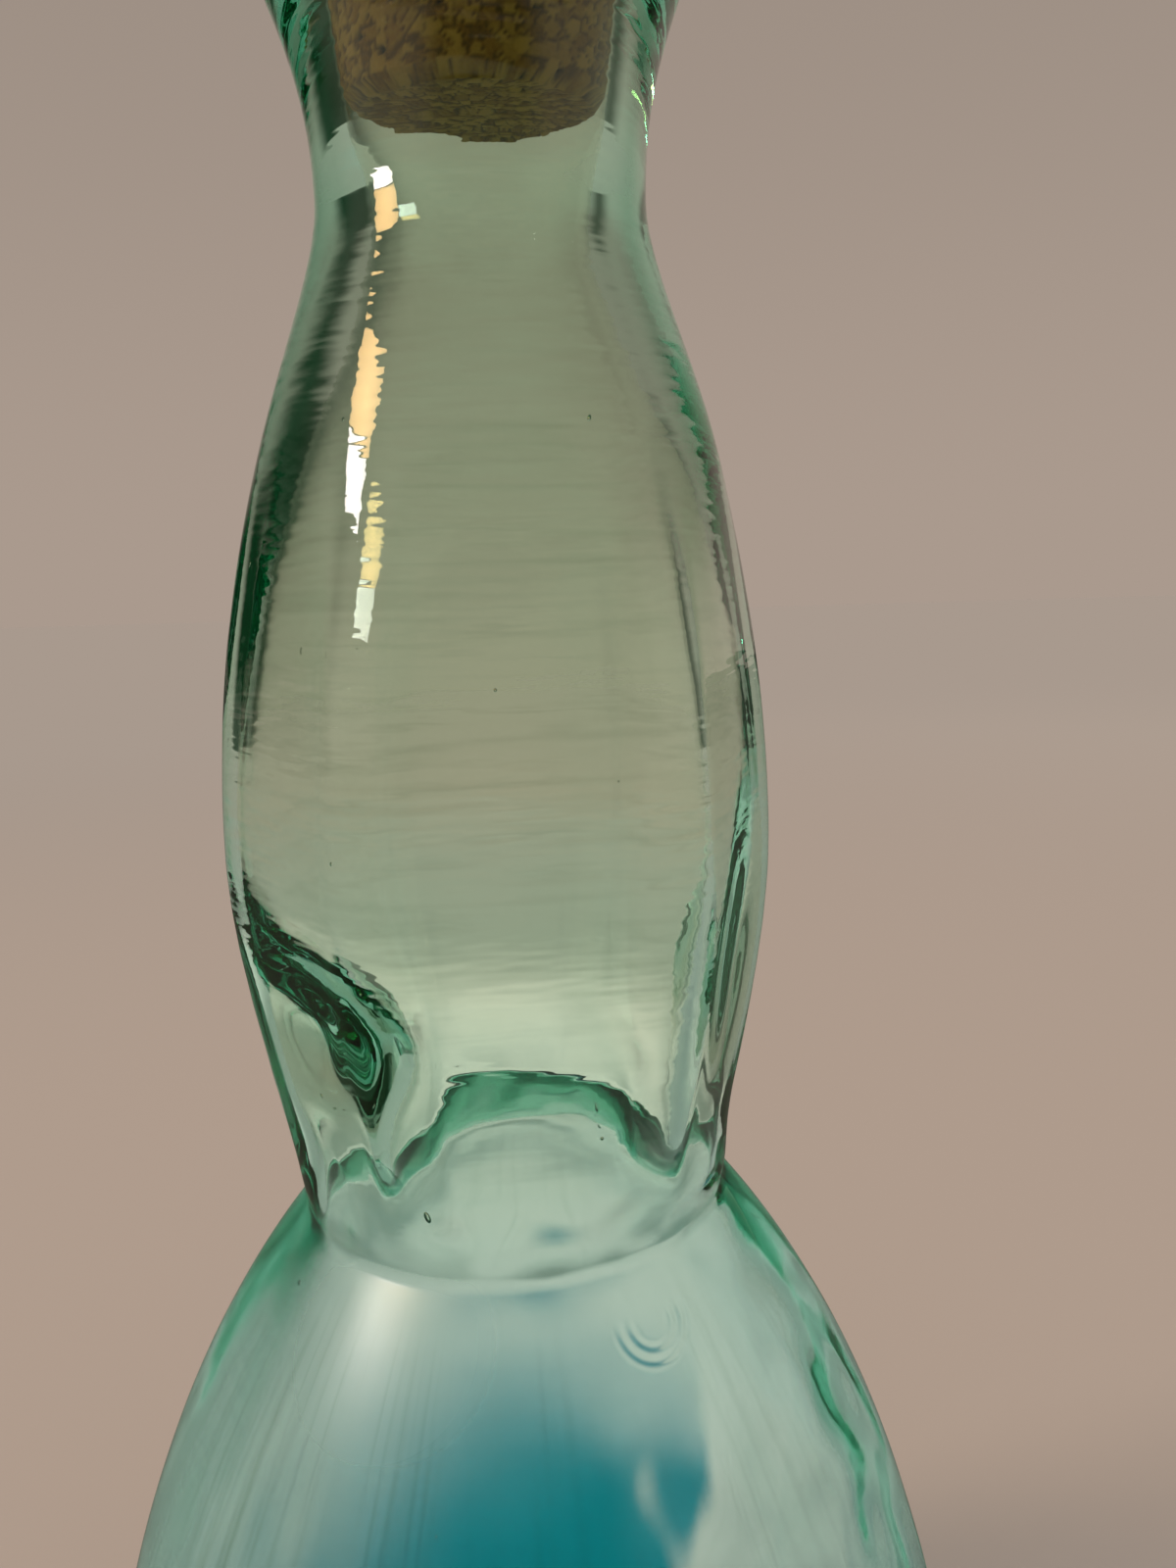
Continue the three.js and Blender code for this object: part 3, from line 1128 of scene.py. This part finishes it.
@dataclass
class Studio:
    """Plain pale floor, soft light and the camera of the photograph."""

    # The floor as it is seen; as the glass lets it through, painted cooler and greener with a painted pool of
    # light behind the vessel, standing in for light that came through the green glass; and as the glass mirrors
    # it, painted darker
    paper: str = "#b0a094"
    # Further out the paper is painted lighter, to make up for the lamps' light, which falls on the floor mostly
    # near the vessel
    paper_far: str = "#bcac9f"
    paper_reach: Pair = (300.0, 2000.0)
    # Seen through the glass the floor is painted cooler and greener, standing in for light that came through
    # the green glass
    paper_painted_behind_glass: str = "#a9b8b2"
    paper_far_painted_behind_glass: str = "#c0beb1"
    behind_reach: Pair = (300.0, 1800.0)
    # A painted pool of light on the floor behind the vessel, seen only through the glass
    light_pool_painted_behind_glass: str = "#ecf3ef"
    pool_place: Pair = (28.0, 205.0)
    pool_reach: Pair = (55.0, 250.0)
    # The floor as the glass mirrors it is painted dark: a painted darker reflection
    paper_painted_dark_on_glass: str = "#5a5a50"
    floor_middle: Pair = (0.0, 0.0)
    floor_half_m: float = 60.0
    floor_drop: float = 0.2
    # The backdrop, from its foot up. The ends are heights of a direction of length 1
    backdrop: str = "#aa9a8e"
    # Seen through the glass the backdrop is painted greener, standing in for light that came through the green
    # glass
    backdrop_painted_behind_glass: str = "#acab9e"
    backdrop_top: str = "#9d8f84"
    backdrop_rise: Pair = (0.05, 0.5)
    fill: float = 0.78
    # Unlit gaps in the surround, as angles to the left of straight behind
    gap: str = "#12301c"
    gap_deg: Pair = (8.0, 84.0)
    right_gap_deg: Pair = (-84.0, -44.0)
    front_gap_deg: float = 132.0
    gap_edge_deg: float = 24.0
    gap_foot: Pair = (-0.02, 0.03)
    gap_head: Pair = (0.64, 0.5)
    # Two soft lamps on one side, one above the other
    lamp_turn_deg: float = 104.0
    white_rise_deg: float = 29.0
    warm_rise_deg: float = 38.0
    lamp_white: str = "#fff6f2"
    lamp_warm: str = "#ffcf8a"
    white_watts: float = 2.2
    warm_watts: float = 1.6
    lamp_width_m: float = 1.0
    lamp_height_m: float = 0.6
    lamp_spread_deg: float = 40.0
    lamp_distance_m: float = 4.0
    lamp_aim: float = 230.0
    # The camera, fitted to the outline of the glass
    camera_turn_deg: float = 8.5
    camera_aside: float = 10.92
    camera_back: float = 150.0
    camera_height: float = 206.0
    camera_pitch_deg: float = 8.5
    camera_roll_deg: float = -1.58
    focal_px: float = 1204.0
    frame_px: float = 1600.0
    sensor: float = 36.0
    camera_clip_m: float = 0.01
    light_bounces: int = 40

    def light_paths(self) -> None:
        """Lets light that runs along inside the thick wall go on until it comes out."""
        cycles = bpy.context.scene.cycles
        cycles.max_bounces = self.light_bounces
        cycles.glossy_bounces = self.light_bounces
        cycles.transmission_bounces = self.light_bounces

    def camera(self) -> None:
        """Makes the camera at the photograph's place."""
        data = bpy.data.cameras.new("photo_camera")
        data.sensor_width = self.sensor
        data.lens = self.sensor * self.focal_px / self.frame_px
        data.clip_start = self.camera_clip_m
        made = bpy.data.objects.new("photo_camera", data)
        bpy.context.scene.collection.objects.link(made)
        turn = math.radians(self.camera_turn_deg)
        place = Vector((self.camera_aside, -self.camera_back, self.camera_height)) * MM
        place.rotate(Euler((0, 0, -turn)))
        made.location = place
        heading = Euler((math.radians(90 - self.camera_pitch_deg), 0, -turn)).to_quaternion()
        roll = Euler((0, 0, math.radians(self.camera_roll_deg))).to_quaternion()
        made.rotation_mode = "QUATERNION"
        made.rotation_quaternion = heading @ roll
        bpy.context.scene.camera = made

    def patch(self, tree: Tree, centre: Pair, reach: Pair, near: str, far: Any) -> Node:
        """Adds a colour round a centre on the floor that turns into another further out.

        Args:
            tree: The floor's tree.
            centre: The centre.
            reach: Distances between which the colour changes.
            near: Hex colour at the centre.
            far: Linear colour further out, or the node that gives it.

        Returns:
            The node that gives the colour.
        """
        place = add_node(tree, "ShaderNodeTexCoord").outputs["Object"]
        away = add_node(tree, VECTOR_MATH, DISTANCE, {0: place, 1: metres((*centre, 0.0))})
        share = add_node(tree, MAP_RANGE, SMOOTH, span(away, reach))
        return add_node(tree, MIX, COLOURS, {"Factor": share, FIRST_COLOUR: linear(near), SECOND_COLOUR: far})

    def floor(self) -> None:
        """Makes the plain floor, with painted light in its colour."""
        material, tree = new_material("pale_paper_sweep")
        light = add_node(tree, "ShaderNodeLightPath").outputs
        # The seen paper turns lighter further out: painted light where the lamps do not reach
        seen = self.patch(tree, self.floor_middle, self.paper_reach, self.paper, linear(self.paper_far))
        # Through the glass the floor shows painted light: a greener tint and a pool of light behind the vessel
        behind = self.patch(tree, self.floor_middle, self.behind_reach, self.paper_painted_behind_glass,
                            linear(self.paper_far_painted_behind_glass))
        painted_light_pool = self.patch(tree, self.pool_place, self.pool_reach, self.light_pool_painted_behind_glass, behind)
        shown = add_node(tree, MIX, COLOURS, {"Factor": light["Is Transmission Ray"], FIRST_COLOUR: seen,
                                              SECOND_COLOUR: painted_light_pool})
        # Where the glass mirrors the floor, a darker colour is painted in: a painted reflection
        reflected = add_node(tree, MATH, {"operation": "SUBTRACT", "use_clamp": True},
                             {0: light["Is Glossy Ray"], 1: light["Is Transmission Ray"]})
        mirrored = add_node(tree, MIX, COLOURS, {"Factor": reflected, FIRST_COLOUR: shown,
                                                 SECOND_COLOUR: linear(self.paper_painted_dark_on_glass)})
        paper = add_node(tree, "ShaderNodeBsdfDiffuse", inputs={"Color": mirrored})
        add_node(tree, "ShaderNodeOutputMaterial", inputs={"Surface": paper})
        half = self.floor_half_m / MM
        corners = np.array([(-half, -half, 0), (half, -half, 0), (half, half, 0), (-half, half, 0)])
        made = make_object("floor", corners, [(0, 1, 2, 3)], material)
        made.location.z = -self.floor_drop * MM

    def gaps(self, tree: Tree, axes: Any, light: Any) -> Node:
        """Adds the unlit gaps in the surround, which only the glass shows.

        Args:
            tree: The world's tree.
            axes: Sockets of the three parts of the direction.
            light: Sockets that tell the kind of ray.

        Returns:
            The node that gives the share of the gaps in each direction.
        """
        degree = math.radians(1.0)
        edge = self.gap_edge_deg
        left = add_node(tree, MATH, TIMES, {0: axes["X"], 1: -1.0})
        turn = add_node(tree, MATH, {"operation": "ARCTAN2"}, {0: left, 1: axes["Y"]})
        aside = add_node(tree, MATH, {"operation": "ABSOLUTE"}, {0: turn})
        front = (self.front_gap_deg, self.front_gap_deg + edge)
        share = add_node(tree, MAP_RANGE, SMOOTH, span(aside, front, unit=degree))
        for start, end in (self.gap_deg, self.right_gap_deg):
            opening = add_node(tree, MAP_RANGE, SMOOTH, span(turn, (start, start + edge), unit=degree))
            closing = add_node(tree, MAP_RANGE, SMOOTH, span(turn, (end, end - edge), unit=degree))
            side = add_node(tree, MATH, TIMES, {0: opening, 1: closing})
            share = add_node(tree, MATH, GREATER, {0: share, 1: side})
        share = held_back(tree, share, [
            span(axes["Z"], self.gap_foot, unit=1.0), span(axes["Z"], self.gap_head, unit=1.0)])
        unseen = add_node(tree, MATH, {"operation": "SUBTRACT"}, {0: 1.0, 1: light["Is Camera Ray"]})
        return add_node(tree, MATH, TIMES, {0: share, 1: unseen})

    def world(self) -> None:
        """Lights the scene evenly, and sets a pale backdrop behind it for the camera and the glass."""
        world = bpy.data.worlds.new("studio")
        bpy.context.scene.world = world
        world.use_nodes = True
        tree = world.node_tree
        tree.nodes.clear()
        place = add_node(tree, "ShaderNodeTexCoord").outputs["Generated"]
        axes = add_node(tree, "ShaderNodeSeparateXYZ", inputs={0: place}).outputs
        light = add_node(tree, "ShaderNodeLightPath").outputs
        # Through the glass the backdrop is painted greener: painted light
        low = add_node(tree, MIX, COLOURS, {
            "Factor": light["Is Transmission Ray"], FIRST_COLOUR: linear(self.backdrop),
            SECOND_COLOUR: linear(self.backdrop_painted_behind_glass)})
        rise = add_node(tree, MAP_RANGE, SMOOTH, span(axes["Z"], self.backdrop_rise, unit=1.0))
        sweep = add_node(tree, MIX, COLOURS, {"Factor": rise, FIRST_COLOUR: low,
                                              SECOND_COLOUR: linear(self.backdrop_top)})
        surround = add_node(tree, MIX, COLOURS, {"Factor": self.gaps(tree, axes, light), FIRST_COLOUR: sweep,
                                                 SECOND_COLOUR: linear(self.gap)})
        shown = light["Is Camera Ray"]
        for kind in ("Is Glossy Ray", "Is Transmission Ray"):
            shown = add_node(tree, MATH, GREATER, {0: shown, 1: light[kind]})
        colour = add_node(tree, MIX, COLOURS, {"Factor": shown, SECOND_COLOUR: surround,
                                               FIRST_COLOUR: (self.fill, self.fill, self.fill, 1.0)})
        even = add_node(tree, "ShaderNodeBackground", inputs={"Color": colour})
        add_node(tree, "ShaderNodeOutputWorld", inputs={"Surface": even})

    def lamps(self) -> None:
        """Hangs the two soft lamps whose reflections run down the left of the neck and the bulb."""
        side = math.radians(self.lamp_turn_deg)
        for name, colour, rise_deg, power in (
                ("lamp_white", self.lamp_white, self.white_rise_deg, self.white_watts),
                ("lamp_warm", self.lamp_warm, self.warm_rise_deg, self.warm_watts)):
            data = bpy.data.lights.new(name, "AREA")
            data.shape = "RECTANGLE"
            data.size = self.lamp_width_m
            data.size_y = self.lamp_height_m
            data.color = linear(colour)[:3]
            data.energy = power
            data.spread = math.radians(self.lamp_spread_deg)
            made = bpy.data.objects.new(name, data)
            up = math.radians(rise_deg)
            towards = Vector((-math.sin(side) * math.cos(up), math.cos(side) * math.cos(up), math.sin(up)))
            made.location = towards * self.lamp_distance_m + Vector((0, 0, self.lamp_aim * MM))
            made.rotation_euler = towards.to_track_quat("Z", "Y").to_euler()
            bpy.context.scene.collection.objects.link(made)


def main() -> None:
    """Builds the pieces in order and logs each one."""
    logging.basicConfig(level=logging.INFO, format="%(message)s")
    bpy.context.scene.view_settings.view_transform = "Standard"
    studio = Studio()
    studio.light_paths()
    studio.camera()
    studio.floor()
    studio.world()
    studio.lamps()
    vessel = GlassVessel()
    glass = vessel.build(BlownGlass().make())
    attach(glass, "vessel")
    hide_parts("glass_vessel")
    LOG.info("%s: %d points", glass.name, len(glass.data.vertices))
    cork = CorkStopper(vessel).build(PressedCork().make())
    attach(cork, "stopper")
    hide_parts("cork_stopper")
    LOG.info("%s: %d points", cork.name, len(cork.data.vertices))


if __name__ == "__main__":
    main()
